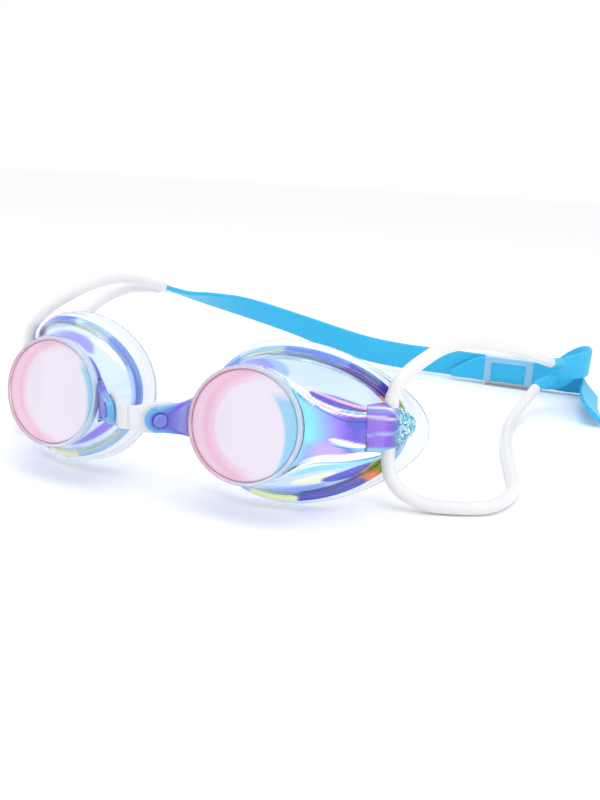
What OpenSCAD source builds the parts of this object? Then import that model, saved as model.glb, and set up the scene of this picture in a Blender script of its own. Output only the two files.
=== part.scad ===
// Swim goggles lying folded on a flat surface, in millimetres.
// The lenses face -Y, the head strap lies behind them, and +Z is up.
// "Left" and "right" are the wearer's: the left cup is on the +X side.

/* [Lenses] */
// Radius of the round lens window
lens_r = 13.75; // [13:0.25:14.5]
// Thickness of the lens window
lens_t = 1.8; // [1.4:0.1:2.2]
// Distance between the centres of the two lenses
lens_spacing = 56.4; // [56:0.1:57.5]
// Height of the lens centres above the surface
lens_z = 24.4; // [24.4:0.1:26]
// Angle by which each lens face leans back
lens_tilt = 10; // [8:0.5:12]
// Angle by which each lens face turns outwards
toe_out = 2.7; // [1:0.1:4]

/* [Eye cup frame] */
// Width of the raised rim around the lens
rim_w = 0.95; // [0.7:0.05:1.2]
// Wall thickness of the eye cup
wall = 1.5; // [1.2:0.1:1.8]
// Half the length of the rear flange
flange_a = 25.8; // [25.4:0.1:26.2]
// Half the height of the rear flange
flange_b = 19.7; // [19.2:0.1:20]
// How far the flange stands out from the wall
flange_lip = 1.3; // [0.9:0.1:1.5]
// Radius of the temple lug that holds the cord
lug_r = 3.4; // [3.2:0.1:3.8]
// Height of the temple lug
lug_h = 12; // [10:0.5:13]

/* [Gasket] */
// Half the length of the sealing edge
gasket_a = 28.8; // [28.4:0.1:29.2]
// Half the height of the sealing edge
gasket_b = 21.1; // [20.8:0.1:21.3]
// Width of the soft sealing edge, seen from behind
gasket_w = 5.2; // [4.5:0.1:5.6]

/* [Nose bridge] */
// Thickness of the nose tabs
tab_t = 1.8; // [1.5:0.1:2]
// Radius of the rounded end of a nose tab
tab_r = 3.25; // [3:0.05:3.4]
// Radius of the pegs that snap into the nose tabs
peg_r = 1.75; // [1.5:0.05:1.8]
// Thickness of the soft bridge
bridge_t = 1.7; // [1.4:0.1:1.9]
// Height of the bridge at its waist
waist_h = 6.2; // [5.5:0.1:7]

/* [Head strap] */
// Diameter of the white silicone cords
cord_d = 3.7; // [3.4:0.1:3.8]
// Height of the flat band
band_h = 11; // [10:0.5:11]
// Thickness of the flat band
band_t = 1.6; // [1.4:0.1:1.8]
// Length of the rear buckle
buckle_l = 20; // [17:0.5:21]

/* [Hidden] */

// The frame's origin is on the surface, under the middle of the object.
centre_x = 21.9;
centre_y = 85.5;

segments = 72;       // points round an eye cup
cord_sides = 8;
play = 0.1;          // radial clearance of a peg or a cord in its hole
LEFT = 1;
RIGHT = -1;

// The flange and sealing edge are egg-shaped, and their depth grows towards the temple.
flange_x = 8.4;
flange_egg = 0.08;
gasket_x = 10.5;
gasket_egg = 0.21;

// The nose tabs lean inwards and forwards from the lens rims.
tab_base = [14.9, 2.9];
tab_turn = 222;      // direction from base to end, seen from above
tab_z = 23.6;
tab_l = 10.5;        // base to the centre of the rounded end
peg_at = 10.1;
tab_base_h = 12.5;

// The cord passes straight down through the temple lug.
channel = [57.3, 26.6];
lug_tip = [62.6, 31.6];
channel_z = 21.6;
channel_r = cord_d / 2 + play;

// Where the bands lie side by side in the buckle.
band_lift = 1.4;
near_y = 172.6;
far_y = 175.4;

// Cord routes, from the band's upper edge through the temple lug to its lower edge.
left_cord_route = [
  [87.4, 138, 20.2], [85.2, 125, 23.7], [82.3, 110, 27.7], [77, 85, 34.2], [70.4, 62, 39],
  [65.4, 48, 39.6], [61.7, 38, 37.4], [58.6, 29.6, 34], [57.3, 26.6, 29.4],
  [57.3, 26.6, 27.4], [57.3, 26.6, 21.6], [57.3, 26.6, 15.6], [57.4, 26.4, 13.2],
  [59.2, 24.4, 8.8], [62.6, 24.8, 5], [68.4, 26.4, 2.4], [76, 29.2, 1.9], [83.6, 34, 1.9],
  [87.2, 43, 1.9], [87.3, 54, 1.9], [84.8, 66, 1.9], [81.2, 84, 1.9], [79, 100, 1.9],
  [78.2, 114, 2.2], [80, 127, 4.8], [83.4, 138, 9.8]
];
right_cord_route = [
  [-52.2, 98.6, 38.4], [-53.8, 86, 42], [-54.4, 71, 44.6], [-53.4, 56, 44.8],
  [-52.6, 43, 43.2], [-55.6, 35, 39.4], [-58, 29.2, 34], [-57.3, 26.6, 29.4],
  [-57.3, 26.6, 27.4], [-57.3, 26.6, 21.6], [-57.3, 26.6, 15.6], [-57.4, 26.4, 13.2],
  [-59.4, 24.8, 8.8], [-64.4, 28, 5], [-69.8, 37, 7.6], [-70.6, 49, 16], [-68.4, 61, 26.4],
  [-64.8, 73, 35], [-61.4, 85, 38.6], [-58.8, 95, 38.4], [-57, 100.4, 37.4]
];

// Band routes: [x, y, z of the middle, height, lean from upright].
left_band_route = [
  [88.8, 145.6, 15.2, 10.6, 22], [92, 149.6, 15.9, 11, 16], [96.6, 154.4, 16.8, 11, 8],
  [100, 161, 17, 11, 2], [98.4, 167.8, 17, 11, 0], [94.4, 171.6, 13.8, 11, 0],
  [89.8, 172.6, 8.6, 11, 0], [86, 172.6, 7, 11, 0], [80, 172.6, 6.9, 11, 0],
  [66, 172.6, 6.9, 11, 0],
  [58, 172.6, 6.7, 10.6, 0], [50, 172.6, 4.6, 6.4, 0], [45, 172.6, 3, 3.2, 0]
];
// The two blue strands that run from the left cords into the left band.
left_upper_strand = [[87.4, 138, 20.2], [88.6, 142, 19.4], [90.6, 147, 18.8]];
left_lower_strand = [[83.4, 138, 9.8], [85.4, 142, 11.2], [88.4, 146.8, 12]];
right_band_route = [
  [-54.6, 98.6, 38.6, 10.6, 86], [-49.6, 107, 35.8, 11, 84], [-44.4, 116, 33.4, 11, 68],
  [-34.6, 131, 28.6, 11, 46], [-18.6, 148, 20.8, 11, 34], [-5, 158.6, 14.6, 11, 16],
  [8, 165.4, 10.4, 11, 6], [20, 171.2, 8, 11, 2], [30, 174.8, 7, 11, 0], [40, 175.4, 6.9, 11, 0],
  [60, 175.4, 6.9, 11, 0], [80, 175.4, 6.9, 11, 0], [93, 175.6, 5.8, 10.6, 8],
  [99.2, 175, 4.5, 9.4, 32], [102, 170.6, 4.1, 9.2, 44], [102, 160, 4.1, 9.4, 47],
  [103, 146, 4.2, 9.6, 48], [105.6, 131.5, 4.2, 9.6, 48]
];

// ---- Points along curves ----

function hermite(a, b, c, d, t) =
  0.5 * (2 * b + (c - a) * t + (2 * a - 5 * b + 4 * c - d) * t * t
         + (3 * b - a - 3 * c + d) * t * t * t);

function clamped(list, i) = list[max(0, min(len(list) - 1, i))];

// A smooth curve through every point, with a few steps between one and the next.
function curve(points, steps) = concat(
  [for (i = [0 : len(points) - 2], k = [0 : steps - 1])
    hermite(clamped(points, i - 1), points[i], points[i + 1], clamped(points, i + 2),
            k / steps)],
  [points[len(points) - 1]]
);

function unit(v) = v / norm(v);
function place(p) = [p[0], p[1], p[2]];
function tangents(points) = [
  for (i = [0 : len(points) - 1])
    unit(place(clamped(points, i + 1)) - place(clamped(points, i - 1)))
];

// Carries a side vector along the curve without twisting it.
function carried(dirs, v, i = 0) =
  i == len(dirs) ? [] :
  let (w = unit(v - (v * dirs[i]) * dirs[i])) concat([w], carried(dirs, w, i + 1));

// ---- Lofted solids ----

// Joins rings of points, each seen clockwise along the way they run.
module loft(rings, looped = false) {
  count = len(rings);
  n = len(rings[0]);
  last = looped ? count - 1 : count - 2;
  walls = [
    for (i = [0 : last], j = [0 : n - 1])
      let (a = i * n + j, b = i * n + (j + 1) % n,
           c = ((i + 1) % count) * n + (j + 1) % n, d = ((i + 1) % count) * n + j)
        each [[a, b, c], [a, c, d]]
  ];
  caps = looped ? [] : [
    [for (j = [n - 1 : -1 : 0]) j],
    [for (j = [0 : n - 1]) (count - 1) * n + j]
  ];
  polyhedron(points = [for (ring = rings) each ring], faces = concat(walls, caps));
}

module tube(route, d, steps) {
  points = curve(route, steps);
  dirs = tangents(points);
  sides = carried(dirs, [1, 0.2, 0.1]);
  loft([
    for (i = [0 : len(points) - 1])
      let (s = sides[i], q = cross(dirs[i], s))
        [for (j = [0 : cord_sides - 1])
          let (a = -360 * (j + 0.5) / cord_sides)
            points[i] + d / 2 * (cos(a) * s + sin(a) * q)]
  ]);
}

// A flat band on edge: its height leans sideways by the angle in the route.
module ribbon(route, steps) {
  points = curve(route, steps);
  dirs = tangents(points);
  loft([
    for (i = [0 : len(points) - 1])
      let (p = points[i],
           level = unit(cross(dirs[i], [0, 0, 1])),
           upright = unit(cross(level, dirs[i])),
           up = cos(p[4]) * upright + sin(p[4]) * level,
           out = cross(dirs[i], up),
           h = min(p[3], band_h) / 2)
        [for (c = [[1, 1], [-1, 1], [-1, -1], [1, -1]])
          place(p) + c[0] * band_t / 2 * out + c[1] * h * up]
  ]);
}

// ---- Eye cup shapes, in the cup's own frame ----
// x runs to the temple, y to the face and z up, from the middle of the lens's front.

function oval(x0, a, b, egg, y0, slope, bow, inset, back = 0) = [
  for (j = [0 : segments - 1])
    let (t = 360 * j / segments, x = x0 + a * cos(t))
      [x0 + (a - inset) * cos(t), y0 + slope * (x - x0) + bow * pow(x - x0, 2) + back,
       (b - inset) * sin(t) * (1 - egg * cos(t))]
];
function flange(inset, back = 0) =
  oval(flange_x, flange_a, flange_b, flange_egg, 15.4, 0.3, 0.0145, inset, back);
function sealing(inset, back = 0) =
  oval(gasket_x, gasket_a, gasket_b, gasket_egg, 20, 0.22, 0.0115, inset, back);
function round_ring(r, y) = [
  for (j = [0 : segments - 1]) let (t = 360 * j / segments) [r * cos(t), y, r * sin(t)]
];
function between(a, b, f, g) = [
  for (j = [0 : len(a) - 1])
    [a[j][0] + f * (b[j][0] - a[j][0]), a[j][1] + g * (b[j][1] - a[j][1]),
     a[j][2] + f * (b[j][2] - a[j][2])]
];

module placed() translate([-centre_x, -centre_y, 0]) children();
module sided(side) placed() mirror([side == LEFT ? 0 : 1, 0, 0]) children();
module in_cup(side) {
  sided(side) translate([lens_spacing / 2, 0, lens_z])
    rotate([0, 0, toe_out]) rotate([-lens_tilt, 0, 0]) children();
}

module lens(side) {
  color("pink") in_cup(side) rotate([-90, 0, 0]) cylinder(h = lens_t, r = lens_r, $fn = 96);
}

module cup_shell() {
  seat = lens_r + 0.05;
  front = round_ring(lens_r + rim_w, -0.3);
  root = round_ring(lens_r + rim_w, 1.6);
  inner_front = round_ring(lens_r - 1, lens_t + 0.02);
  edge = flange(flange_lip, -1.8);
  inner_edge = flange(flange_lip + wall, -1.8);
  loft(concat(
    [front, root],
    [for (k = [1 : 5]) between(root, edge, pow(k / 5, 1.25), k / 5)],
    [flange(0, -1.6), flange(0), flange(flange_lip + wall, 0)],
    [for (k = [5 : -1 : 0]) between(inner_front, inner_edge, pow(k / 5, 1.15), k / 5)],
    [round_ring(seat, lens_t + 0.02), round_ring(seat, -0.3)]
  ), looped = true);
}

// Places what follows along a nose tab, with z from its face towards the back.
module along_tab() {
  translate([tab_base[0], tab_base[1], tab_z]) rotate([90, 0, tab_turn]) children();
}

module nose_tab() {
  along_tab()
    linear_extrude(height = tab_t, center = true) difference() {
      union() {
        translate([tab_l, 0]) circle(r = tab_r, $fn = 64);
        polygon([[0, -tab_base_h / 2], [0, tab_base_h / 2], [4, tab_r + 0.9],
                 [tab_l, tab_r], [tab_l, -tab_r], [4, -tab_r - 0.9]]);
      }
      translate([peg_at, 0]) circle(r = peg_r + play, $fn = 64);
    }
}

// The lug surrounds the channel and narrows backwards to the temple tip.
module temple_lug() {
  across = lug_r * unit([channel[1] - lug_tip[1], lug_tip[0] - channel[0]]);
  translate([0, 0, channel_z - lug_h / 2]) linear_extrude(height = lug_h) {
    translate(channel) circle(r = lug_r, $fn = 64);
    polygon([channel + across, lug_tip + across / 3, lug_tip - across / 3, channel - across]);
  }
}

module frame(side) {
  color("cornflowerblue") difference() {
    union() {
      in_cup(side) cup_shell();
      sided(side) nose_tab();
      sided(side) temple_lug();
    }
    sided(side) translate([channel[0], channel[1], channel_z - lug_h])
      cylinder(h = 2 * lug_h, r = channel_r, $fn = 64);
    in_cup(side) rotate([90, 0, 0]) translate([0, 0, -lens_t - 0.02])
      cylinder(h = 2 * lens_t, r = lens_r + 0.03, $fn = 96);
  }
}

module gasket(side) {
  gap = 0.1;
  color("lightcyan") in_cup(side) loft([
    flange(0.3, gap), flange(-0.7, 1), between(flange(-0.7, 1), sealing(0.6, -1.2), 0.6, 0.6),
    sealing(0, -1), sealing(0.4), sealing(gasket_w, -0.2),
    between(flange(4.6, gap), sealing(gasket_w, -1), 0.5, 0.5), flange(4.2, gap)
  ], looped = true);
}

// ---- Nose bridge ----

// Half the height of the bridge at x from its middle.
function bridge_half(x) =
  waist_h / 2 + (tab_r + 0.7 - waist_h / 2) * (1 - cos(180 * min(1, abs(x) / 6))) / 2;

module bridge_plan() {
  behind = tab_t / 2 + 0.15;
  for (side = [LEFT, RIGHT]) mirror([side == LEFT ? 0 : 1, 0])
    translate(tab_base) rotate(tab_turn) translate([4.6, -behind - bridge_t])
      square([9.6, bridge_t]);
  polygon([[-4.3, -5.2], [-3, -6.6], [3, -6.6], [4.3, -5.2], [3.4, -3.8], [2.4, -4.8],
           [-2.4, -4.8], [-3.4, -3.8]]);
}

module nose_bridge() {
  color("white") placed() {
    intersection() {
      translate([0, 0, tab_z]) linear_extrude(height = 12, center = true) bridge_plan();
      translate([0, 0, tab_z]) rotate([90, 0, 0]) linear_extrude(height = 40, center = true)
        polygon(concat([for (x = [-12 : 1 : 12]) [x, bridge_half(x)]],
                       [for (x = [12 : -1 : -12]) [x, -bridge_half(x)]]));
    }
    for (side = [LEFT, RIGHT]) mirror([side == LEFT ? 0 : 1, 0, 0]) along_tab()
      translate([peg_at, 0, -tab_t / 2 - 0.6]) cylinder(h = tab_t + 0.9, r = peg_r, $fn = 64);
  }
}

// ---- Head strap ----

module cord(route) {
  color("whitesmoke") placed() tube(route, cord_d, 2);
}

module left_band() {
  color("deepskyblue") placed() {
    tube(left_upper_strand, cord_d, 1);
    tube(left_lower_strand, cord_d, 1);
    ribbon(left_band_route, 3);
  }
}

module right_band() {
  color("deepskyblue") placed() ribbon(right_band_route, 3);
}

module rear_buckle() {
  buckle_h = 14;
  slot_gap = 0.4;
  front_y = near_y - band_t / 2 - slot_gap;
  back_y = far_y + band_t / 2 + slot_gap;
  color("azure", 0.6) placed() translate([69, 0, 0]) difference() {
    translate([-buckle_l / 2, front_y - 1.3, 0])
      cube([buckle_l, back_y - front_y + 2.6, buckle_h]);
    translate([-buckle_l, front_y, band_lift - 0.2])
      cube([2 * buckle_l, back_y - front_y, band_h + 0.5]);
    translate([-buckle_l / 2 + 3, front_y - 5, band_lift + 1])
      cube([buckle_l - 6, back_y - front_y + 10, band_h - 3]);
  }
}

nose_bridge();
lens(LEFT);  // left_lens
frame(LEFT);  // left_frame
gasket(LEFT);  // left_gasket
cord(left_cord_route);  // left_cord
left_band();
lens(RIGHT);  // right_lens
frame(RIGHT);  // right_frame
gasket(RIGHT);  // right_gasket
cord(right_cord_route);  // right_cord
right_band();
rear_buckle();
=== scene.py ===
"""Swim goggles lying on a pale surface. Sizes are in millimetres in the tables below, in the
frame of the cups: x to the wearer's left, y from the lenses back to the strap, z up."""

import bmesh
import bpy
import numpy as np
from mathutils import Matrix, Vector


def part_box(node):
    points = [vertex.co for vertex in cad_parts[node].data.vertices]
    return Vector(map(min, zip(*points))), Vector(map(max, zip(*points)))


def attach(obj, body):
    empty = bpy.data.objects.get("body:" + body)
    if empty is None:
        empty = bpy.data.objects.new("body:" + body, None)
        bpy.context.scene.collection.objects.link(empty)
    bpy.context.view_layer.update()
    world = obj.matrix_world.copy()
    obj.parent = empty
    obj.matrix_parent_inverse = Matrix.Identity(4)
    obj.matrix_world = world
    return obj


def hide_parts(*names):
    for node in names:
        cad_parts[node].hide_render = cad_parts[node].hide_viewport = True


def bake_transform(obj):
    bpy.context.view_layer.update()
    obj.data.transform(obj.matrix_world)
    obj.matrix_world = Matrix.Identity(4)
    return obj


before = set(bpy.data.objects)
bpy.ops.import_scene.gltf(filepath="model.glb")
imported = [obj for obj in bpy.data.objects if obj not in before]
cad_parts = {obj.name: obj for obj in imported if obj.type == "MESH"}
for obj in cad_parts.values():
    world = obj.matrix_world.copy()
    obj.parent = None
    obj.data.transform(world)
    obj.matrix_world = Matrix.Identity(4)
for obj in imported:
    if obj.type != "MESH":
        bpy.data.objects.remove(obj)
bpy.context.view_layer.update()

MM = 0.001
SHIFT = np.array([21.9, 85.5, 0.0])  # from the frame of the cups to the row frame
SIDES = {"left": 1, "right": -1}

# Eye cup
LENS_R = 13.75
LENS_T = 1.8
LENS_SPACING = 56.4
LENS_Z = 24.4
LENS_TILT = 10.0
TOE_OUT = 2.7
RIM_W = 0.95
FLANGE_X = 8.4
FLANGE_A = 25.8
FLANGE_B = 19.7
FLANGE_EGG = 0.08
FLANGE_Y = 15.4
FLANGE_SLOPE = 0.3
FLANGE_BOW = 0.0145
FLANGE_LIP = 1.3
FLANGE_T = 1.8
WALL = 1.5
SEALING_X = 10.5
SEALING_A = 28.8
SEALING_B = 21.1
SEALING_EGG = 0.21
SEALING_Y = 20
SEALING_SLOPE = 0.22
SEALING_BOW = 0.0115
GASKET_W = 5.2
AROUND = 288  # points round a cup

# Nose tab and bridge
TAB_BASE = np.array([14.9, 2.9])
TAB_TURN = 222.0
TAB_Z = 23.6
TAB_L = 10.5
TAB_R = 3.25
TAB_T = 1.8
TAB_BASE_H = 12.5
PEG_AT = 10.1
PEG_R = 1.75
BRIDGE_T = 1.7
WAIST_H = 6.2

# Temple lug and strap
CHANNEL = np.array([57.3, 26.6])
LUG_TIP = np.array([62.6, 31.6])
LUG_Z = 21.6
CORD_D = 3.7
BAND_T = 1.6

LEFT_CORD_ROUTE = [
    (87.4, 138, 20.2), (85.2, 125, 23.7), (82.3, 110, 27.7), (77, 85, 34.2), (70.4, 62, 39),
    (65.4, 48, 39.6), (61.7, 38, 37.4), (58.6, 29.6, 34), (57.3, 26.6, 29.4),
    (57.3, 26.6, 27.4), (57.3, 26.6, 21.6), (57.3, 26.6, 15.6), (57.4, 26.4, 13.2),
    (59.2, 24.4, 8.8), (62.6, 24.8, 5), (68.4, 26.4, 2.4), (76, 29.2, 1.9), (83.6, 34, 1.9),
    (87.2, 43, 1.9), (87.3, 54, 1.9), (84.8, 66, 1.9), (81.2, 84, 1.9), (79, 100, 1.9),
    (78.2, 114, 2.2), (80, 127, 4.8), (83.4, 138, 9.8),
]
RIGHT_CORD_ROUTE = [
    (-52.2, 98.6, 38.4), (-53.8, 86, 42), (-54.4, 71, 44.6), (-53.4, 56, 44.8),
    (-52.6, 43, 43.2), (-55.6, 35, 39.4), (-58, 29.2, 34), (-57.3, 26.6, 29.4),
    (-57.3, 26.6, 27.4), (-57.3, 26.6, 21.6), (-57.3, 26.6, 15.6), (-57.4, 26.4, 13.2),
    (-59.4, 24.8, 8.8), (-64.4, 28, 5), (-69.8, 37, 7.6), (-70.6, 49, 16), (-68.4, 61, 26.4),
    (-64.8, 73, 35), (-61.4, 85, 38.6), (-58.8, 95, 38.4), (-57, 100.4, 37.4),
]
# Band routes: x, y, z of the middle, height, and lean from upright in degrees.
LEFT_BAND_ROUTE = [
    (88.8, 145.6, 15.2, 10.6, 22), (92, 149.6, 15.9, 11, 16), (96.6, 154.4, 16.8, 11, 8),
    (100, 161, 17, 11, 2), (98.4, 167.8, 17, 11, 0), (94.4, 171.6, 13.8, 11, 0),
    (89.8, 172.6, 8.6, 11, 0), (86, 172.6, 7, 11, 0), (80, 172.6, 6.9, 11, 0),
    (66, 172.6, 6.9, 11, 0), (58, 172.6, 6.7, 10.6, 0), (50, 172.6, 4.6, 6.4, 0),
    (45, 172.6, 3, 3.2, 0),
]
LEFT_STRANDS = [
    [(87.4, 138, 20.2), (88.6, 142, 19.4), (90.6, 147, 18.8)],
    [(83.4, 138, 9.8), (85.4, 142, 11.2), (88.4, 146.8, 12)],
]
RIGHT_BAND_ROUTE = [
    (-54.6, 98.6, 38.6, 10.6, 86), (-49.6, 107, 35.8, 11, 84), (-44.4, 116, 33.4, 11, 68),
    (-34.6, 131, 28.6, 11, 46), (-18.6, 148, 20.8, 11, 34), (-5, 158.6, 14.6, 11, 16),
    (8, 165.4, 10.4, 11, 6), (20, 171.2, 8, 11, 2), (30, 174.8, 7, 11, 0),
    (40, 175.4, 6.9, 11, 0), (60, 175.4, 6.9, 11, 0), (80, 175.4, 6.9, 11, 0),
    (93, 175.6, 5.8, 10.6, 8), (99.2, 175, 4.5, 9.4, 32), (102, 170.6, 4.1, 9.2, 44),
    (102, 160, 4.1, 9.4, 47), (103, 146, 4.2, 9.6, 48), (105.6, 131.5, 4.2, 9.6, 48),
]


# ---- Points and curves ----

def curve(points, steps):
    """A smooth curve through every point, with a few steps between one and the next."""
    points = [np.array(p, float) for p in points]
    last = len(points) - 1
    out = []
    for i in range(last):
        a = points[max(i - 1, 0)]
        b = points[i]
        c = points[i + 1]
        d = points[min(i + 2, last)]
        for k in range(steps):
            t = k / steps
            out.append(0.5 * (2 * b + (c - a) * t + (2 * a - 5 * b + 4 * c - d) * t ** 2
                              + (3 * b - a - 3 * c + d) * t ** 3))
    out.append(points[last])
    return np.array(out)


def unit(v):
    """Each vector at length 1."""
    return v / np.linalg.norm(v, axis=-1, keepdims=True)


def eased(points, rounds):
    """The same curve with its small kinks smoothed out and its ends kept."""
    points = np.array(points)
    for _ in range(rounds):
        points[1:-1] = (points[:-2] + 2 * points[1:-1] + points[2:]) / 4
    return points


def tangents(points):
    """The direction of a path at each of its points."""
    padded = np.vstack([points[:1], points, points[-1:]])
    return unit(padded[2:] - padded[:-2])


def turned(points, degrees, axis):
    """The points turned about the x, y or z axis (0, 1 or 2)."""
    a, b = [i for i in range(3) if i != axis]
    if axis == 1:
        a, b = b, a
    c, s = np.cos(np.radians(degrees)), np.sin(np.radians(degrees))
    out = np.array(points, float)
    out[..., a] = c * points[..., a] - s * points[..., b]
    out[..., b] = s * points[..., a] + c * points[..., b]
    return out


def sided(points, side):
    """From the frame of the cups to the row frame in metres, mirrored for the right side."""
    return (np.asarray(points, float) * np.array([SIDES[side], 1, 1]) - SHIFT) * MM


def in_cup(points, side):
    """From a cup's own frame, at the middle of its lens's front, to the row frame."""
    points = turned(turned(np.asarray(points, float), -LENS_TILT, 0), TOE_OUT, 2)
    return sided(points + np.array([LENS_SPACING / 2, 0, LENS_Z]), side)


def in_tab(points, side):
    """From a nose tab's frame (along it, up, and back from its face) to the row frame."""
    points = np.asarray(points, float)
    turn = np.radians(TAB_TURN)
    along = np.array([np.cos(turn), np.sin(turn), 0])
    out = np.array([np.sin(turn), -np.cos(turn), 0])
    place = points[..., :1] * along + points[..., 2:] * out
    place = place + np.array([0, 0, 1]) * points[..., 1:2]
    return sided(place + np.array([TAB_BASE[0], TAB_BASE[1], TAB_Z]), side)


# ---- Meshes ----

def make_piece(name, points, faces, side=None, attributes=None):
    """A smooth mesh piece. A mirrored side's faces are turned over."""
    if side == "right":
        faces = [f[::-1] for f in faces]
    mesh = bpy.data.meshes.new(name)
    mesh.from_pydata(np.asarray(points).reshape(-1, 3).tolist(), [], faces)
    for key, values in (attributes or {}).items():
        layer = mesh.attributes.new(key, "FLOAT_COLOR", "POINT")
        rgba = np.ones((len(mesh.vertices), 4))
        rgba[:, :3] = np.asarray(values).reshape(-1, 3)
        layer.data.foreach_set("color", rgba.ravel())
    mesh.shade_smooth()
    for polygon in mesh.polygons:
        polygon.use_smooth = polygon.loop_total <= 4
    mesh.update()
    obj = bpy.data.objects.new(name, mesh)
    bpy.context.collection.objects.link(obj)
    return obj


def loft_faces(count, around, looped=False, capped=True):
    """Quads between rings of points, with end caps where the rings don't close on themselves."""
    faces = []
    for i in range(count if looped else count - 1):
        a, b = i * around, (i + 1) % count * around
        for j in range(around):
            k = (j + 1) % around
            faces.append((a + j, a + k, b + k, b + j))
    if capped and not looped:
        faces.append(tuple(range(around - 1, -1, -1)))
        faces.append(tuple((count - 1) * around + j for j in range(around)))
    return faces


def loft(name, rings, side=None, looped=False, attributes=None):
    """A piece whose skin runs through rings of points, one ring after another."""
    rings = np.asarray(rings)
    faces = loft_faces(rings.shape[0], rings.shape[1], looped)
    return make_piece(name, rings, faces, side, attributes)


def soften(obj, width, segments=3, angle=40):
    """Rounds a piece's sharp edges."""
    bevel = obj.modifiers.new("soft edges", "BEVEL")
    bevel.width = width * MM
    bevel.segments = segments
    bevel.limit_method = "ANGLE"
    bevel.angle_limit = np.radians(angle)
    return obj


def outward(obj):
    """Turns a closed piece's faces outwards."""
    work = bmesh.new()
    work.from_mesh(obj.data)
    bmesh.ops.recalc_face_normals(work, faces=work.faces)
    work.to_mesh(obj.data)
    work.free()
    return obj


def finish_piece(obj, body, node, material):
    """Gives a piece its material, its body (None for a blended one) and the node it replaces."""
    for each in material if isinstance(material, tuple) else (material,):
        obj.data.materials.append(each)
    if body:
        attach(obj, body)
    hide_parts(node)
    return obj


# ---- Materials ----

def principled(name, **values):
    """A new material, with values for its Principled shader's inputs."""
    material = bpy.data.materials.new(name)
    material.use_nodes = True
    nodes = material.node_tree.nodes
    shader = nodes["Principled BSDF"]
    for key, value in values.items():
        shader.inputs[key.replace("_", " ")].default_value = value
    return material, material.node_tree, shader


def let_light_through(tree, shader, tint, grazing=0.8):
    """Lamps' light passes the clear piece tinted, so that its shadow is a soft coloured one,
    and so does light that grazes the surface, so that the outline stays pale."""
    nodes, links = tree.nodes, tree.links
    path = nodes.new("ShaderNodeLightPath")
    clear = nodes.new("ShaderNodeBsdfTransparent")
    clear.inputs["Color"].default_value = (*tint, 1)
    mix = nodes.new("ShaderNodeMixShader")
    facing = nodes.new("ShaderNodeLayerWeight")
    edge = nodes.new("ShaderNodeMapRange")
    edge.inputs["From Min"].default_value = grazing
    links.new(facing.outputs["Facing"], edge.inputs["Value"])
    either = nodes.new("ShaderNodeMath")
    either.operation = "MAXIMUM"
    links.new(path.outputs["Is Shadow Ray"], either.inputs[0])
    links.new(edge.outputs["Result"], either.inputs[1])
    links.new(either.outputs[0], mix.inputs[0])
    links.new(shader.outputs[0], mix.inputs[1])
    links.new(clear.outputs[0], mix.inputs[2])
    links.new(mix.outputs[0], nodes["Material Output"].inputs["Surface"])


def fine_bump(tree, shader, scale, strength, distance=0.02, detail=4.0):
    """A fine moulded surface, in object space."""
    nodes, links = tree.nodes, tree.links
    place = nodes.new("ShaderNodeTexCoord")
    noise = nodes.new("ShaderNodeTexNoise")
    noise.inputs["Scale"].default_value = scale
    noise.inputs["Detail"].default_value = detail
    bump = nodes.new("ShaderNodeBump")
    bump.inputs["Strength"].default_value = strength
    bump.inputs["Distance"].default_value = distance * MM
    links.new(place.outputs["Object"], noise.inputs["Vector"])
    links.new(noise.outputs["Fac"], bump.inputs["Height"])
    links.new(bump.outputs["Normal"], shader.inputs["Normal"])
    return noise


def painted(tree, shader, attribute, socket="Base Color"):
    """Takes a shader's colour from a mesh attribute."""
    reader = tree.nodes.new("ShaderNodeAttribute")
    reader.attribute_name = attribute
    tree.links.new(reader.outputs["Color"], shader.inputs[socket])


def shell_material():
    """Clear moulded plastic with an iridescent coating."""
    material, tree, shader = principled(
        "clear_frame", Roughness=0.03, IOR=1.49, Transmission_Weight=1.0,
        Thin_Film_Thickness=430.0, Thin_Film_IOR=1.75)
    painted(tree, shader, "tint")
    let_light_through(tree, shader, (0.86, 0.91, 1.0), 0.9)
    return material


def rim_material():
    """The rim round the lens, which catches the lens's pink."""
    material, tree, shader = principled(
        "lens_rim", Roughness=0.1, IOR=1.49, Transmission_Weight=0.35, Coat_Weight=1.0,
        Coat_Roughness=0.02, Thin_Film_Thickness=400.0, Thin_Film_IOR=1.7)
    painted(tree, shader, "tint")
    fine_bump(tree, shader, 150, 0.05)
    return material


def tab_material():
    """The nose tab's coating, which shows its own colours."""
    material, tree, shader = principled(
        "nose_tab", Roughness=0.06, IOR=1.49, Transmission_Weight=0.3, Coat_Weight=0.8,
        Coat_Roughness=0.02)
    painted(tree, shader, "tint")
    fine_bump(tree, shader, 150, 0.04)
    return material


def lens_material():
    """Pink mirror coating on a clear disc."""
    material, tree, shader = principled(
        "mirror_lens", Roughness=0.06, IOR=1.5, Transmission_Weight=0.25,
        Coat_Weight=1.0, Coat_Roughness=0.02)
    painted(tree, shader, "tint")
    fine_bump(tree, shader, 120, 0.04)
    return material


def silicone_material(name, colour, tint):
    """Clear, faintly grey silicone."""
    material, tree, shader = principled(
        name, Base_Color=(*colour, 1), Roughness=0.1, IOR=1.3, Transmission_Weight=0.82)
    fine_bump(tree, shader, 160, 0.05)
    let_light_through(tree, shader, tint)
    return material


def frosted_material(name, colour):
    """Milky soft plastic."""
    material, tree, shader = principled(
        name, Base_Color=(*colour, 1), Roughness=0.38, IOR=1.41,
        Transmission_Weight=0.35, Subsurface_Weight=0.3, Subsurface_Scale=0.002)
    fine_bump(tree, shader, 900, 0.15)
    return material


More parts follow.
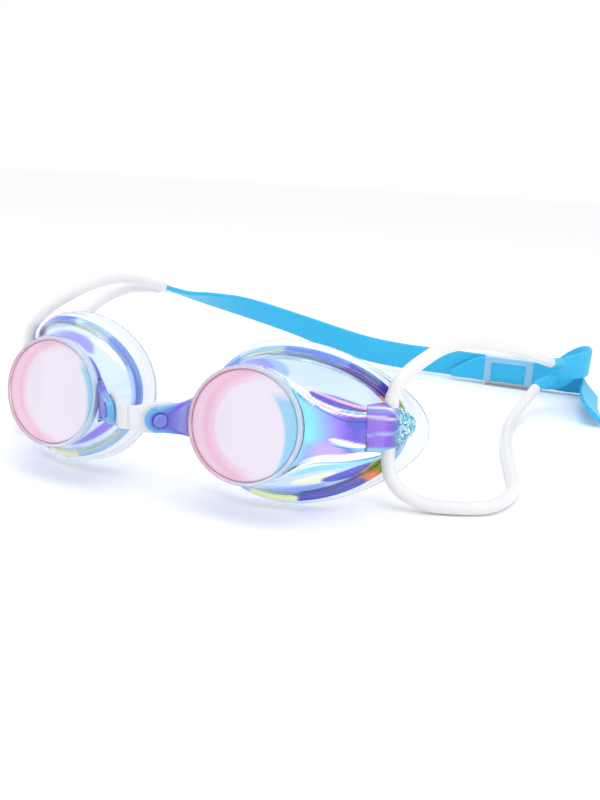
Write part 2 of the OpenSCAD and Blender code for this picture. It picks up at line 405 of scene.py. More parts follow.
def cord_material():
    """Matt white silicone."""
    material, tree, shader = principled(
        "white_cord", Base_Color=(0.73, 0.735, 0.75, 1), Roughness=0.3, IOR=1.45,
        Subsurface_Weight=0.25, Subsurface_Scale=0.0015)
    fine_bump(tree, shader, 700, 0.12)
    return material


def band_material():
    """Blue silicone with slight mottling."""
    material, tree, shader = principled(
        "blue_band", Roughness=0.42, IOR=1.45, Subsurface_Weight=0.2,
        Subsurface_Scale=0.0015)
    nodes, links = tree.nodes, tree.links
    noise = fine_bump(tree, shader, 600, 0.2)
    ramp = nodes.new("ShaderNodeValToRGB")
    ramp.color_ramp.elements[0].color = (0.012, 0.4, 0.7, 1)
    ramp.color_ramp.elements[1].color = (0.03, 0.48, 0.78, 1)
    links.new(noise.outputs["Fac"], ramp.inputs[0])
    links.new(ramp.outputs[0], shader.inputs["Base Color"])
    return material


def buckle_material():
    """Clear hard plastic."""
    material, tree, shader = principled(
        "clear_buckle", Base_Color=(0.98, 0.99, 1, 1), Roughness=0.12, IOR=1.2,
        Transmission_Weight=0.9, Coat_Weight=1.0, Coat_Roughness=0.04)
    fine_bump(tree, shader, 200, 0.08)
    let_light_through(tree, shader, (0.93, 0.96, 1.0), 0.6)
    return material


# ---- Eye cup ----

ANGLES = 2 * np.pi * np.arange(AROUND) / AROUND


def ring(r, y):
    """A circle round the lens's axis, at depth y."""
    return np.stack([r * np.cos(ANGLES), np.full(AROUND, float(y)), r * np.sin(ANGLES)], -1)


def oval(x0, a, b, egg, y0, slope, bow, inset, back):
    """An egg-shaped ring whose depth grows towards the temple."""
    c, s = np.cos(ANGLES), np.sin(ANGLES)
    depth = y0 + slope * a * c + bow * (a * c) ** 2 + back
    return np.stack([x0 + (a - inset) * c, depth, (b - inset) * s * (1 - egg * c)], -1)


def flange(inset, back=0.0):
    """The outline of the frame's rear flange, made smaller by inset."""
    return oval(FLANGE_X, FLANGE_A, FLANGE_B, FLANGE_EGG, FLANGE_Y, FLANGE_SLOPE, FLANGE_BOW,
                inset, back)


def sealing(inset, back=0.0):
    """The outline of the gasket's sealing edge, made smaller by inset."""
    return oval(SEALING_X, SEALING_A, SEALING_B, SEALING_EGG, SEALING_Y, SEALING_SLOPE,
                SEALING_BOW, inset, back)


def between(a, b, f, g):
    """A ring between two others: share f of the way across, and share g of the depth."""
    weights = np.array([f, g, f])
    return a + weights * (b - a)


# Ridges and colour streaks of the shell. Each point is an angle in degrees round the cup, from
# the temple upwards, and a share of the way from the lens to the flange.
RIDGES = [
    (0.5, [(78, 0), (46, 0.06), (30, 0.15), (20, 0.5), (17, 0.8), (12, 1)]),
    (0.4, [(46, 0), (36, 0.08), (22, 0.27), (12, 0.5), (13, 0.85), (10, 1)]),
    (0.45, [(-8, 0.3), (-11, 0.4), (-14, 0.63), (-11, 0.95)]),
    (0.5, [(-50, 0), (-34, 0.1), (-28, 0.27), (-27, 0.53), (-22, 0.8), (-14, 1)]),
]


def seen(red, green, blue):
    """A colour given as it is seen, 0 to 255 a channel, as the shaders use it."""
    share = np.array([red, green, blue]) / 255
    return np.where(share < 0.04045, share / 12.92, ((share + 0.055) / 1.055) ** 2.4)


PANEL_BLUE = seen(180, 210, 251)
DEEP_BLUE = seen(58, 42, 205)
INK = seen(40, 30, 130)
VIOLET = seen(108, 58, 222)
LILAC = seen(168, 148, 250)
CYAN = seen(112, 205, 242)
SKY = seen(126, 160, 248)
PERIWINKLE = seen(128, 112, 246)
CREAM = seen(250, 246, 214)
WHITE = seen(255, 255, 255)
PINK = seen(250, 190, 225)
MAGENTA = seen(170, 60, 190)
LIME = seen(170, 205, 70)
AMBER = seen(225, 160, 110)
# The middle panel's colours from the lens to the temple: share of the way, upper, lower.
PANEL = [(0, CYAN, CYAN), (0.1, CYAN, SKY), (0.24, SKY, LILAC), (0.36, PERIWINKLE, LILAC),
         (0.46, VIOLET, LILAC), (0.56, DEEP_BLUE, VIOLET), (0.68, VIOLET, VIOLET),
         (1, VIOLET, DEEP_BLUE)]
# Streaks: colour, half width in mm, strength, points. The white streaks are painted highlights
# along the ridges.
STREAKS = [
    (SKY, 2.8, 0.8, [(112, 0.18), (96, 0.25), (80, 0.25), (64, 0.14)]),
    (SKY, 3.0, 0.9, [(-118, 0.5), (-98, 0.68), (-78, 0.78), (-62, 0.82)]),
    (CYAN, 0.9, 0.85, [(-48, 0.16), (-38, 0.36), (-33, 0.6), (-25, 0.9)]),
    (CREAM, 1.5, 0.9, [(-60, 0.36), (-52, 0.52), (-44, 0.64)]),
    # Painted highlights along the upper and lower main ridges.
    (WHITE, 1.3, 0.95, [(74, 0.0), (46, 0.08), (29, 0.22), (19, 0.5), (15, 0.8)]),
    (WHITE, 1.4, 0.95, [(-52, 0.0), (-35, 0.12), (-28, 0.3), (-26, 0.55), (-18, 0.9)]),
    (DEEP_BLUE, 1.5, 0.97, [(39, 0.2), (31, 0.36), (25.5, 0.5), (20, 0.68)]),
    (INK, 0.5, 0.8, [(28, 0.46), (23, 0.58), (19, 0.68)]),
    (PINK, 0.3, 0.95, [(46, 0.18), (35, 0.36), (28, 0.5), (22, 0.66), (17, 0.85)]),
    (MAGENTA, 0.22, 0.85, [(60, 0.05), (38, 0.12), (24, 0.28), (15, 0.5), (13, 0.85)]),
    (DEEP_BLUE, 1.2, 0.9, [(9, 0.46), (7, 0.58), (6, 0.72)]),
    (DEEP_BLUE, 1.4, 0.97, [(-53, 0.62), (-44, 0.75), (-36, 0.85), (-29, 0.96)]),
    # A painted highlight along the middle ridge.
    (WHITE, 0.7, 0.95, [(-6, 0.3), (-11, 0.48), (-14, 0.65), (-11, 0.9)]),
    (CYAN, 0.4, 0.85, [(-9, 0.32), (-14, 0.5), (-17, 0.66), (-14, 0.9)]),
    (PERIWINKLE, 2.6, 0.85, [(76, 0.1), (96, 0.25), (114, 0.3), (128, 0.16)]),
    (VIOLET, 2.4, 0.9, [(-118, 0.1), (-136, 0.25), (-152, 0.45), (-160, 0.62)]),
    (DEEP_BLUE, 0.8, 0.95, [(132, 0.01), (150, 0.04), (168, 0.04), (184, 0.01)]),
    (CREAM, 1.6, 0.8, [(74, 0.92), (102, 0.94), (126, 0.94)]),
    (CREAM, 2.0, 0.9, [(-100, 0.9), (-122, 0.92), (-150, 0.95)]),
    # Painted highlights on the nose side, near the flange.
    (WHITE, 1.0, 0.95, [(124, 0.76), (142, 0.84), (156, 0.84)]),
    (WHITE, 0.7, 0.9, [(118, 0.6), (134, 0.68), (146, 0.7)]),
]
# Streaks along the flange's band: colour, from and to angle, strength.
BAND_STREAKS = [
    (SKY, 58, 100, 0.85), (VIOLET, 30, 64, 0.95), (DEEP_BLUE, 44, 58, 0.6), (AMBER, 25, 33, 0.9),
    (LIME, 18, 27, 0.95), (CREAM, -112, -84, 0.85), (VIOLET, -84, -42, 0.97),
    (AMBER, -46, -35, 0.9), (LIME, -37, -26, 0.95), (SKY, 130, 190, 0.6),
]
BAND_FROM = 0.88  # share of the way to the flange where its coloured band begins
WIDE_STREAK = 2  # half width from which a streak has soft edges
SHARP_EDGE = 0.18
SOFT_EDGE = 0.8


def plain_shell(t, s):
    """The smooth wall from the lens to the flange, at angle t and share s."""
    near = LENS_R + RIM_W
    c, q = np.cos(t), np.sin(t)
    a = np.stack([near * c, np.full_like(c, 1.6), near * q], -1)
    reach = FLANGE_A * c
    depth = FLANGE_Y + FLANGE_SLOPE * reach + FLANGE_BOW * reach ** 2 - FLANGE_T
    b = np.stack([FLANGE_X + (FLANGE_A - FLANGE_LIP) * c, depth,
                  (FLANGE_B - FLANGE_LIP) * q * (1 - FLANGE_EGG * c)], -1)
    f = (s ** 1.25)[..., None]
    out = a + f * (b - a)
    out[..., 1] = a[..., 1] + s * (b[..., 1] - a[..., 1])
    return out


def distance_to_line(points, line, taper=0.0):
    """Each point's distance to a line of (angle, share) places on the shell, in mm. A taper
    adds up to that much towards the line's ends, so that a streak narrows there."""
    fine = curve([(np.radians(t), s) for t, s in line], 8)
    path = plain_shell(fine[:, 0], np.clip(fine[:, 1], 0, 1))
    out = np.full(points.shape[:-1], np.inf)
    count = len(path) - 1
    for k in range(count):
        way = path[k + 1] - path[k]
        share = np.clip(((points - path[k]) @ way) / max(way @ way, 1e-9), 0, 1)
        gap = points - path[k] - share[..., None] * way
        place = 2 * (k + share) / count - 1
        narrowing = taper * (1 - np.sqrt(np.clip(1 - place ** 2, 0, 1)))
        out = np.minimum(out, np.sqrt((gap ** 2).sum(-1)) + narrowing)
    return out


def fade(distance, half, edge=0.35):
    """1 inside a streak and 0 outside it, with a short soft edge."""
    x = np.clip((half + edge - distance) / (2 * edge), 0, 1)
    return x * x * (3 - 2 * x)


def mixed(colour, tint, share):
    """The colour with a share of another laid over it."""
    share = np.asarray(share)[..., None]
    return colour * (1 - share) + tint * share


def through_two_walls(colour):
    """The coating's tint that is seen as this colour through the cup's front and back walls."""
    return np.clip(colour ** 2 / PANEL_BLUE, 0.002, 1)


def middle_panel(degrees, s):
    """The colour and cover of the panel between the upper and lower main ridges."""
    upper = np.interp(s, [p[1] for p in RIDGES[0][1]], [p[0] for p in RIDGES[0][1]])
    lower = np.interp(s, [p[1] for p in RIDGES[3][1]], [p[0] for p in RIDGES[3][1]])
    cover = np.clip((upper - degrees) / 2, 0, 1) * np.clip((degrees - lower) / 2, 0, 1)
    places = [row[0] for row in PANEL]
    tones = []
    for column in (1, 2):
        tones.append(np.stack([np.interp(s, places, [row[column][c] for row in PANEL])
                               for c in range(3)], -1))
    down = np.clip((-degrees - 6) / 6, 0, 1)
    return mixed(tones[0], tones[1], down), cover


def ridged(wall):
    """The smooth wall with its moulded ridges, each with a shallow groove beside it."""
    ridge = np.zeros(wall.shape[:2])
    for height, line in RIDGES:
        gap = distance_to_line(wall, line)
        ridge = np.maximum(ridge, height * np.exp(-(gap / 0.75) ** 2))
        ridge = ridge - 0.22 * height * np.exp(-((gap - 1.9) / 0.9) ** 2)
    along = np.gradient(wall, axis=0)
    around = np.gradient(wall, axis=1)
    return wall + unit(np.cross(along, around)) * ridge[..., None]


def wall_tints(wall, degrees, s):
    """The coating's tints on the wall and flange edge, and painted highlights on its ridges."""
    colour = np.ones(wall.shape) * PANEL_BLUE
    colour = mixed(colour, *middle_panel(degrees, s))
    for tint, half, strength, line in STREAKS:
        gap = distance_to_line(wall, line, taper=half)
        edge = SHARP_EDGE if half < WIDE_STREAK else SOFT_EDGE
        colour = mixed(colour, tint, strength * fade(gap, half, edge))
    band = np.ones(wall.shape) * PANEL_BLUE
    for tint, start, end, strength in BAND_STREAKS:
        turn = degrees if end <= 180 else degrees % 360
        share = fade(np.abs(turn - (start + end) / 2), (end - start) / 2, 1.5)
        band = mixed(band, tint, strength * share)
    painted_band = (s > BAND_FROM) * (np.abs(band - PANEL_BLUE).sum(-1) > 0.02)
    colour = through_two_walls(mixed(colour, band, 0.9 * painted_band))
    return colour, through_two_walls(band[-1])


def cup_shell(side):
    """The frame's clear shell, from the rim round the lens to the rear flange."""
    steps = 44
    t, s = np.meshgrid(ANGLES, np.linspace(0, 1, steps))
    wall = plain_shell(t, s)
    outer = ridged(wall)
    colour, band = wall_tints(wall, (np.degrees(t) + 180) % 360 - 180, s)

    front = [ring(LENS_R + RIM_W - 0.35, -0.3), ring(LENS_R + RIM_W - 0.1, -0.2),
             ring(LENS_R + RIM_W, 0.1), ring(LENS_R + RIM_W, 1.2)]
    lip = [flange(1.05, -1.78), flange(0.2, -1.66), flange(0, -1.4), flange(0, -0.3),
           flange(0.25, 0), flange(FLANGE_LIP + WALL, 0)]
    inner_front = ring(LENS_R - 1, LENS_T + 0.02)
    inner_edge = flange(FLANGE_LIP + WALL, -FLANGE_T)
    inside = [between(inner_front, inner_edge, (k / 12) ** 1.15, k / 12)
              for k in range(12, -1, -1)]
    seat = [ring(LENS_R + 0.03, LENS_T + 0.02), ring(LENS_R + 0.03, -0.15),
            ring(LENS_R + 0.25, -0.3)]
    rings = front + list(outer) + lip + inside + seat

    clear = np.ones((AROUND, 3))
    leftward = np.clip(0.5 - np.cos(ANGLES) * SIDES[side], 0, 1)
    rim = mixed(seen(214, 226, 252) * clear, seen(238, 186, 208), leftward)
    tints = [rim] * len(front) + list(colour) + [band] * 5 + [clear] * (1 + len(inside))
    tints = tints + [rim] * len(seat)
    shell = outward(loft(f"{side}_cup_shell", in_cup(rings, side), side, looped=True,
                         attributes={"tint": tints}))
    last_rim = len(rings) - len(seat)
    first_lip = len(front) + steps - 1
    for polygon in shell.data.polygons:
        ring_number = polygon.index // AROUND
        on_lip = first_lip <= ring_number < first_lip + len(lip)
        in_rim = ring_number < len(front) - 1 or ring_number >= last_rim
        polygon.material_index = int(on_lip or in_rim)
    return shell


def lens(side):
    """A disc with a rounded edge and a slightly domed front."""
    rim = LENS_R - 0.01
    bevel = rim - 0.64
    radii = np.concatenate([np.linspace(0.02, bevel - 0.2, 40), np.linspace(bevel, rim, 8)])
    dome = -0.35 * (1 - (radii / LENS_R) ** 2) - 0.02
    edge = np.clip((radii - bevel) / (rim - bevel), 0, 1)
    front = [ring(r, y + 0.35 * e ** 3) for r, y, e in zip(radii, dome, edge)]
    back = [ring(rim, LENS_T - 0.3), ring(rim - 0.24, LENS_T - 0.02), ring(9, LENS_T),
            ring(0.02, LENS_T)]
    rings = np.array(front + back)
    x = rings[..., 0] * SIDES[side]
    z = rings[..., 2]
    r = np.hypot(x, z)
    rose, pearl, pale = seen(238, 180, 205), seen(240, 206, 230), seen(237, 230, 243)
    colour = np.ones(rings.shape) * pale
    # The coating turns from rose to pale lilac, and its far edge turns cyan.
    off_centre = np.hypot(x - 3.6, z - 0.3)
    leftward = np.clip((4.5 - x) / 5, 0, 1)
    crescent = np.clip((off_centre - 10.6) / (0.8 if side == "left" else 4), 0, 1) * leftward
    colour = mixed(colour, pearl, crescent)
    colour = mixed(colour, rose, 0.65 * fade(np.abs(off_centre - 13.4), 0.9, 0.9) * leftward)
    inner = np.hypot(x + 2.2, (z + 2.5) * 0.9)
    edge = 12.6 if side == "left" else 14.2
    cyan = np.clip((inner - edge) / 0.8, 0, 1) * np.clip((x - 3) / 3, 0, 1)
    colour = mixed(colour, CYAN, 0.8 * cyan * np.clip((9.5 - z) / 2.5, 0, 1))
    colour = mixed(colour, rose, 0.9 * fade(LENS_R - r, 0.55, 0.3) * np.clip((9 - x) / 6, 0, 1))
    return outward(loft(f"{side}_lens_disc", in_cup(rings, side), side,
                        attributes={"tint": colour}))


def gasket(side):
    """The soft seal, from the flange back to the face."""
    gap = 0.1
    profile = [
        flange(0.3, gap), flange(-0.7, 1), between(flange(-0.7, 1), sealing(0.6, -1.2), 0.6, 0.6),
        sealing(0, -1), sealing(0.4), sealing(GASKET_W, -0.2),
        between(flange(4.6, gap), sealing(GASKET_W, -1), 0.5, 0.5), flange(4.2, gap),
    ]
    rings = []
    for k, a in enumerate(profile):
        b = profile[(k + 1) % len(profile)]
        long = k in (1, 2, 4, 5, 6, 7)
        shares = (0.08, 0.36, 0.64, 0.92) if long else (0.2, 0.8)
        rings += [a + share * (b - a) for share in shares]
    rings = (np.roll(rings, 1, 0) + 2 * np.array(rings) + np.roll(rings, -1, 0)) / 4
    return outward(loft(f"{side}_face_gasket", in_cup(rings, side), side, looped=True))


def nose_tab(side):
    """A rounded plate with a hole for the bridge's peg."""
    count = 96
    turns = 2 * np.pi * np.arange(count) / count
    corners = [(0, -TAB_BASE_H / 2), (4, -TAB_R - 0.9), (TAB_L - 1, -TAB_R)]
    arc = [(TAB_L + TAB_R * np.cos(a), TAB_R * np.sin(a))
           for a in np.linspace(-np.pi / 2, np.pi / 2, 40)]
    outline = corners + arc + [(x, -y) for x, y in corners[::-1]]
    outline = np.array(outline) - np.array([PEG_AT, 0])
    reach = np.zeros(count)
    for k, turn in enumerate(turns):
        way = np.array([np.cos(turn), np.sin(turn)])
        for a, b in zip(outline, np.roll(outline, -1, 0)):
            edge = b - a
            cross = way[0] * edge[1] - way[1] * edge[0]
            if abs(cross) < 1e-9:
                continue
            far = (a[0] * edge[1] - a[1] * edge[0]) / cross
            share = (a[0] * way[1] - a[1] * way[0]) / cross
            if far > 0 and -1e-9 <= share <= 1 + 1e-9:
                reach[k] = max(reach[k], far)
    half = TAB_T / 2
    hole = PEG_R + 0.12
    profile = [(0, hole + 0.15, half), (1, -0.5, half), (1, -0.15, half - 0.15), (1, 0, half - 0.5),
               (1, 0, 0.5 - half), (1, -0.15, 0.15 - half), (1, -0.5, -half),
               (0, hole + 0.15, -half), (0, hole, 0.15 - half), (0, hole, half - 0.15)]
    rings = []
    for outer, inset, height in profile:
        r = reach + inset if outer else np.full(count, inset)
        rings.append(np.stack([PEG_AT + r * np.cos(turns), r * np.sin(turns),
                               np.full(count, height)], -1))
    rings = np.array(rings)
    x = rings[..., 0]
    lip = fade(np.abs(np.hypot(x - PEG_AT, rings[..., 1]) - hole), 0.5, 0.3)
    colour = np.ones(rings.shape) * seen(84, 186, 242)
    colour = mixed(colour, seen(88, 140, 246), np.clip((PEG_AT - x) / 4, 0, 1))
    colour = mixed(colour, seen(98, 84, 238), fade(np.abs(x - 4.2), 1.6, 1.0))
    colour = mixed(colour, seen(176, 180, 250), fade(x, 1.9, 0.6))
    colour = mixed(colour, seen(96, 70, 210), 0.85 * lip)
    return outward(loft(f"{side}_nose_tab", in_tab(rings, side), side, looped=True,
                        attributes={"tint": colour}))


def temple_lug(side):
    """The beak round the cord's channel, narrowing to the temple tip."""
    way = unit(LUG_TIP - CHANNEL)
    across = np.array([way[1], -way[0]])
    # distance along the beak from the channel, half width, half height
    stations = [(-7, 0.3, 6.3), (-5.4, 1.5, 6.4), (-2.8, 2.6, 6.5), (0, 3.1, 6.2),
                (2, 3.0, 5.5), (4, 2.5, 4.3), (5.6, 1.8, 3.1), (6.8, 1.1, 1.9),
                (7.4, 0.5, 0.9), (7.6, 0.1, 0.2)]
    stations = curve(stations, 4)
    count = 64
    turns = 2 * np.pi * np.arange(count) / count
    rings = []
    for d, w, h in stations:
        lateral = w * np.sign(np.cos(turns)) * np.abs(np.cos(turns)) ** 0.8
        height = h * np.sign(np.sin(turns)) * np.abs(np.sin(turns)) ** 0.8
        place = CHANNEL + d * way
        rings.append(np.stack([place[0] + lateral * across[0], place[1] + lateral * across[1],
                               LUG_Z + height], -1))
    rings = np.array(rings)
    place = stations[:, :1] * np.ones(count)
    high = rings[..., 2] - LUG_Z
    colour = mixed(seen(92, 108, 190) * np.ones(rings.shape), seen(134, 88, 234),
                   np.clip(-place / 1.5, 0, 1))
    colour = mixed(colour, seen(158, 118, 240), np.clip(-place - 2, 0, 1))
    # A dark ring painted where a small groove runs round the beak: painted shade in the groove.
    colour = mixed(colour, INK, 0.8 * fade(np.abs(place + 5.6), 0.12, 0.12))
    # Share of the surface that is pebbled, where glints are painted on the pebbles.
    pebbles_and_painted_glints = np.clip((place + 0.4) / 2.4, 0, 1) * np.clip((high + 4.4) / 1.2, 0, 1)
    line = fade(np.abs(high + 1.6 - 0.14 * (place + 7)), 0.32, 0.2) * (place < 3)
    colour = mixed(colour, seen(176, 204, 252), 0.9 * line)
    # The white and sky-blue lines high on the beak are painted highlights.
    for level, half, tint in ((3.3, 0.3, WHITE), (4.9, 0.5, SKY), (5.7, 0.25, WHITE)):
        gap = np.abs(high - level + 0.16 * np.clip(place + 3, 0, 6))
        colour = mixed(colour, tint, 0.85 * fade(gap, half, 0.2) * np.clip((1 - place) / 2, 0, 1))
    colour = mixed(colour, seen(150, 226, 248), np.clip((-high - 4.6) / 0.8, 0, 1))
    return outward(loft(f"{side}_temple_lug", sided(rings, side), side,
                        attributes={"tint": colour, "pebbles_and_painted_glints": pebbles_and_painted_glints[..., None] * WHITE}))


def lug_material():
    """Coated plastic that is smooth, and pebbled at the temple tip, with painted glints on the
    pebbles.
    """
    material, tree, shader = principled(
        "temple_lug", Roughness=0.05, IOR=1.49, Transmission_Weight=0.2, Coat_Weight=0.6,
        Coat_Roughness=0.02)
    nodes, links = tree.nodes, tree.links
    place = nodes.new("ShaderNodeTexCoord")
    pebbles = nodes.new("ShaderNodeTexVoronoi")
    pebbles.inputs["Scale"].default_value = 1900
    links.new(place.outputs["Object"], pebbles.inputs["Vector"])
    amount = nodes.new("ShaderNodeAttribute")
    amount.attribute_name = "pebbles_and_painted_glints"
    height = nodes.new("ShaderNodeMath")
    height.operation = "MULTIPLY"
    links.new(pebbles.outputs["Distance"], height.inputs[0])
    links.new(amount.outputs["Fac"], height.inputs[1])
    bump = nodes.new("ShaderNodeBump")
    bump.inputs["Strength"].default_value = 1.0
    bump.inputs["Distance"].default_value = 0.15 * MM
    links.new(height.outputs[0], bump.inputs["Height"])
    links.new(bump.outputs["Normal"], shader.inputs["Normal"])
    # The pebbles' colours run from dark blue through cyan to white; the white is painted glints.
    tones = nodes.new("ShaderNodeValToRGB")
    ramp = tones.color_ramp
    ramp.elements[0].color = (*seen(36, 96, 160), 1)
    ramp.elements[1].color = (*seen(250, 255, 255), 1)
    middle = ramp.elements.new(0.45)
    middle.color = (*seen(70, 205, 228), 1)
    grey = nodes.new("ShaderNodeSeparateColor")
    links.new(pebbles.outputs["Color"], grey.inputs[0])
    links.new(grey.outputs[0], tones.inputs[0])
    reader = nodes.new("ShaderNodeAttribute")
    reader.attribute_name = "tint"
    mix = nodes.new("ShaderNodeMix")
    mix.data_type = "RGBA"
    links.new(amount.outputs["Fac"], mix.inputs[0])
    links.new(reader.outputs["Color"], mix.inputs[6])
    links.new(tones.outputs[0], mix.inputs[7])
    links.new(mix.outputs[2], shader.inputs["Base Color"])
    return material


# ---- Nose bridge ----

def bridge_half(side):
    """One half of the soft bridge: a flat strip from its waist to behind the nose tab."""
    turn = np.radians(TAB_TURN)
    along = np.array([np.cos(turn), np.sin(turn)])
    behind = np.array([np.sin(turn), -np.cos(turn)]) * (TAB_T / 2 + 0.15 + BRIDGE_T / 2)
    arm = [TAB_BASE + d * along + behind for d in (13.6, 11.6, 9.2, 6.8, 4.7)]
    plan = [(0, -5.7), (1.2, -5.68), (2.4, -5.5)] + [tuple(p) for p in arm]
    path = eased(curve([(x, y, 0) for x, y in plan], 5), 12)
    dirs = tangents(path)
    out = np.cross(dirs, (0, 0, 1))
    count = 32
    turns = 2 * np.pi * (np.arange(count) + 0.5) / count
    rings = []
    length = np.linalg.norm(np.diff(path, axis=0), axis=1).sum()
    gone = 0
    for k, p in enumerate(path):
        gone += np.linalg.norm(path[k] - path[k - 1]) if k else 0
        grow = (1 - np.cos(np.pi * min(1, p[0] / 6))) / 2
        half = WAIST_H / 2 + (TAB_R + 0.7 - WAIST_H / 2) * grow
        end = np.sqrt(max(0.0, 1 - max(0.0, (gone - length + 2.6) / 2.6) ** 2))
        half = half * (0.45 + 0.55 * end)
        flat = np.sign(np.cos(turns)) * np.abs(np.cos(turns)) ** 0.45 * BRIDGE_T / 2
        high = np.sign(np.sin(turns)) * np.abs(np.sin(turns)) ** 0.7 * half
        rings.append(p + flat[:, None] * out[k] + high[:, None] * np.array([0, 0, 1])
                     + np.array([0, 0, TAB_Z]))
    return outward(loft(f"bridge_{side}_half", sided(rings, side), side))


def bridge_peg(side):
    """The button that snaps through the nose tab."""
    count = 48
    turns = 2 * np.pi * np.arange(count) / count
    profile = [(0.02, 1.3), (PEG_R, 1.3), (PEG_R, -1.05), (PEG_R - 0.1, -1.25),
               (PEG_R - 0.4, -1.4), (0.9, -1.42), (0.7, -1.3), (0.02, -1.26)]
    rings = [np.stack([PEG_AT + r * np.cos(turns), r * np.sin(turns), np.full(count, h)], -1)
             for r, h in profile]
    return outward(loft(f"bridge_{side}_peg", in_tab(rings, side), side))


# ---- Head strap ----

def cord(side, route):
    """A free cord of one round section along its route."""
    points = (curve(route, 8) - SHIFT) * MM
    data = bpy.data.curves.new(f"{side}_cord_line", "CURVE")
    data.dimensions = "3D"
    data.bevel_depth = CORD_D / 2 * MM
    data.bevel_resolution = 7
    data.use_fill_caps = True
    line = data.splines.new("POLY")
    line.points.add(len(points) - 1)
    for point, place in zip(line.points, points):
        point.co = (*place, 1)
    line.use_smooth = True
    obj = bpy.data.objects.new(f"{side}_strap_cord", data)
    bpy.context.collection.objects.link(obj)
    return obj


def stadium(count, half_t, half_h):
    """A flat band's section, with round edges: offsets through it and along its height."""
    turns = 2 * np.pi * (np.arange(count) + 0.5) / count
    rise = half_h - half_t
    return half_t * np.cos(turns), half_t * np.sin(turns) + np.sign(np.sin(turns)) * rise


def band(name, route, steps=8, count=24):
    """A flat band that leans from upright as its route says, with rounded ends."""
    path = curve(route, steps)
    place = path[:, :3]
    dirs = tangents(place)
    level = unit(np.cross(dirs, (0, 0, 1)))
    upright = unit(np.cross(level, dirs))
    lean = np.radians(path[:, 4:5])
    up = np.cos(lean) * upright + np.sin(lean) * level
    out = np.cross(dirs, up)
    rings = []
    for k, p in enumerate(place):
        through, high = stadium(count, BAND_T / 2, path[k, 3] / 2)
        rings.append(p + through[:, None] * out[k] + high[:, None] * up[k])
    for end, step in ((0, -1), (-1, 1)):
        middle = rings[end].mean(0)
        cap = middle + (rings[end] - middle) * 0.96
        cap = cap + step * 0.35 * dirs[end]
        rings = [cap] + rings if end == 0 else rings + [cap]
    return outward(loft(name, (np.array(rings) - SHIFT) * MM))


def strand(name, route):
    """A round stub that joins a band to its cord."""
    path = curve(route, 8)
    dirs = tangents(path)
    side = unit(np.cross(dirs, (0, 0, 1)))
    up = np.cross(side, dirs)
    turns = 2 * np.pi * np.arange(24) / 24
    rings = [p + CORD_D / 2 * (np.cos(turns)[:, None] * a + np.sin(turns)[:, None] * b)
             for p, a, b in zip(path, side, up)]
    return outward(loft(name, (np.array(rings) - SHIFT) * MM))


def joined(objects):
    """Melts overlapping solids into one smooth skin."""
    work = bmesh.new()
    for obj in objects:
        work.from_mesh(obj.data)
    merged = objects[0]
    work.to_mesh(merged.data)
    work.free()
    for obj in objects[1:]:
        bpy.data.objects.remove(obj)
    remesh = merged.modifiers.new("skin", "REMESH")
    remesh.mode = "VOXEL"
    remesh.voxel_size = 0.36 * MM
    remesh.use_smooth_shade = True
    smooth = merged.modifiers.new("smooth", "SMOOTH")
    smooth.factor = 0.5
    smooth.iterations = 6
    depsgraph = bpy.context.evaluated_depsgraph_get()
    skin = bpy.data.meshes.new_from_object(merged.evaluated_get(depsgraph))
    merged.modifiers.clear()
    merged.data = skin
    skin.shade_smooth()
    return merged


def left_band():
    """The left band with the two stubs that hold the cord's ends."""
    parts = [band("left_head_band", LEFT_BAND_ROUTE)]
    parts += [strand(f"strand_{k}", route) for k, route in enumerate(LEFT_STRANDS)]
    return joined(parts)


def rear_buckle():
    """A clear rectangular slide with a window in its front and back."""
    low, high = [np.array(v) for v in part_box("rear_buckle")]
    wall = 1.3 * MM
    bar = 3 * MM
    inner_low = low + np.array([-1 * MM, wall, 1.2 * MM])
    inner_high = high - np.array([-1 * MM, wall, 1.2 * MM])
    window_low = low + np.array([bar, -1 * MM, 2.4 * MM])
    window_high = high - np.array([bar, -1 * MM, 3.6 * MM])
    body = box_mesh("rear_strap_buckle", low, high)
    for name, a, b in (("slot", inner_low, inner_high), ("window", window_low, window_high)):
        cutter = box_mesh(name, a, b)
        cut = body.modifiers.new(name, "BOOLEAN")
        cut.operation = "DIFFERENCE"
        cut.object = cutter
        cut.solver = "EXACT"
        depsgraph = bpy.context.evaluated_depsgraph_get()
        mesh = bpy.data.meshes.new_from_object(body.evaluated_get(depsgraph))
        body.modifiers.clear()
        body.data = mesh
        bpy.data.objects.remove(cutter)
    return soften(body, 0.4)


def box_mesh(name, low, high):
    """A flat-sided box."""
    corners = [(x, y, z) for x in (low[0], high[0]) for y in (low[1], high[1])
               for z in (low[2], high[2])]
    faces = [(0, 1, 3, 2), (4, 6, 7, 5), (0, 4, 5, 1), (2, 3, 7, 6), (0, 2, 6, 4), (1, 5, 7, 3)]
    obj = make_piece(name, corners, faces)
    for polygon in obj.data.polygons:
        polygon.use_smooth = False
    return outward(obj)


# ---- Studio ----

CLEAR_BOUNCES = 28  # light passes many clear walls before it leaves a cup
CAMERA_AT = (84.3, -250.6, 83.9)
CAMERA_TURN = 21.14  # degrees to the left of straight back
CAMERA_DOWN = 16.02
CAMERA_ROLL = 2.98


def camera():
    """The camera, above the wearer's left and a little tilted."""
    data = bpy.data.cameras.new("camera")
    data.lens = 36
    data.sensor_width = 36
    data.clip_start = 0.01
    obj = bpy.data.objects.new("camera", data)
    bpy.context.collection.objects.link(obj)
    turn = Matrix.Rotation(np.radians(CAMERA_TURN), 3, "Z")
    tilt = Matrix.Rotation(np.radians(90 - CAMERA_DOWN), 3, "X")
    roll = Matrix.Rotation(np.radians(CAMERA_ROLL), 3, "Z")
    place = Matrix.Translation(Vector(CAMERA_AT) * MM)
    obj.matrix_world = place @ (turn @ tilt @ roll).to_4x4()
    bpy.context.scene.camera = obj


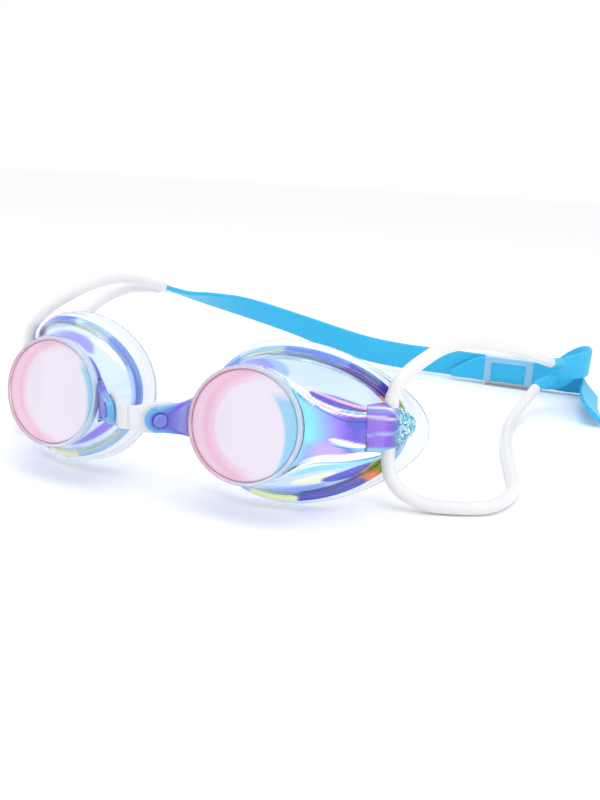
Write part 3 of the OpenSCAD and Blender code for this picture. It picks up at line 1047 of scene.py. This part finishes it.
def light(name, place, target, size, power):
    """A rectangular softbox that faces its target."""
    data = bpy.data.lights.new(name, "AREA")
    data.shape = "RECTANGLE"
    data.size, data.size_y = size
    data.energy = power
    obj = bpy.data.objects.new(name, data)
    bpy.context.collection.objects.link(obj)
    obj.location = place
    obj.rotation_euler = (Vector(target) - Vector(place)).to_track_quat("-Z", "Y").to_euler()


def studio():
    """A pale floor and soft light from all sides."""
    floor = make_piece("floor", [(-4, -4, 0), (4, -4, 0), (4, 4, 0), (-4, 4, 0)], [(0, 1, 2, 3)])
    material = principled("pale_floor", Base_Color=(0.95, 0.955, 0.97, 1), Roughness=0.6)[0]
    floor.data.materials.append(material)
    world = bpy.data.worlds.new("studio")
    bpy.context.scene.world = world
    world.use_nodes = True
    back = world.node_tree.nodes["Background"]
    back.inputs["Color"].default_value = (1, 1, 1, 1)
    back.inputs["Strength"].default_value = 1.0
    middle = (0, -0.02, 0.02)
    light("top softbox", (0.05, -0.1, 0.75), middle, (0.4, 0.4), 1.2)
    light("left softbox", (-0.6, -0.35, 0.35), middle, (0.25, 0.5), 0.8)
    light("right strip", (0.6, -0.25, 0.3), middle, (0.12, 0.6), 0.8)
    scene = bpy.context.scene
    scene.view_settings.view_transform = "Standard"
    scene.cycles.max_bounces = CLEAR_BOUNCES
    scene.cycles.transmission_bounces = CLEAR_BOUNCES


# ---- The goggles ----

def build():
    """Makes every piece and puts it on its body."""
    camera()
    white = cord_material()
    for side, route in (("left", LEFT_CORD_ROUTE), ("right", RIGHT_CORD_ROUTE)):
        finish_piece(cord(side, route), f"{side}_strap", f"{side}_cord", white)

    shell, rim, disc = shell_material(), rim_material(), lens_material()
    tab, lug = tab_material(), lug_material()
    clear = silicone_material("clear_silicone", (0.88, 0.915, 0.97), (0.95, 0.97, 1.0))
    frosted = frosted_material("frosted_silicone", seen(243, 245, 250))
    peg = frosted_material("peg_under_coating", seen(132, 150, 238))
    for side in SIDES:
        cup = f"{side}_cup"
        finish_piece(cup_shell(side), cup, f"{side}_frame", (shell, rim))
        finish_piece(nose_tab(side), cup, f"{side}_frame", tab)
        finish_piece(temple_lug(side), cup, f"{side}_frame", lug)
        finish_piece(lens(side), cup, f"{side}_lens", disc)
        finish_piece(gasket(side), cup, f"{side}_gasket", clear)
        half = finish_piece(bridge_half(side), None, "nose_bridge", frosted)
        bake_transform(half)
        finish_piece(bridge_peg(side), cup, "nose_bridge", peg)

    blue = band_material()
    finish_piece(left_band(), "left_strap", "left_band", blue)
    finish_piece(band("right_head_band", RIGHT_BAND_ROUTE), "right_strap", "right_band",
                 blue)
    finish_piece(rear_buckle(), "buckle", "rear_buckle", buckle_material())


build()
studio()
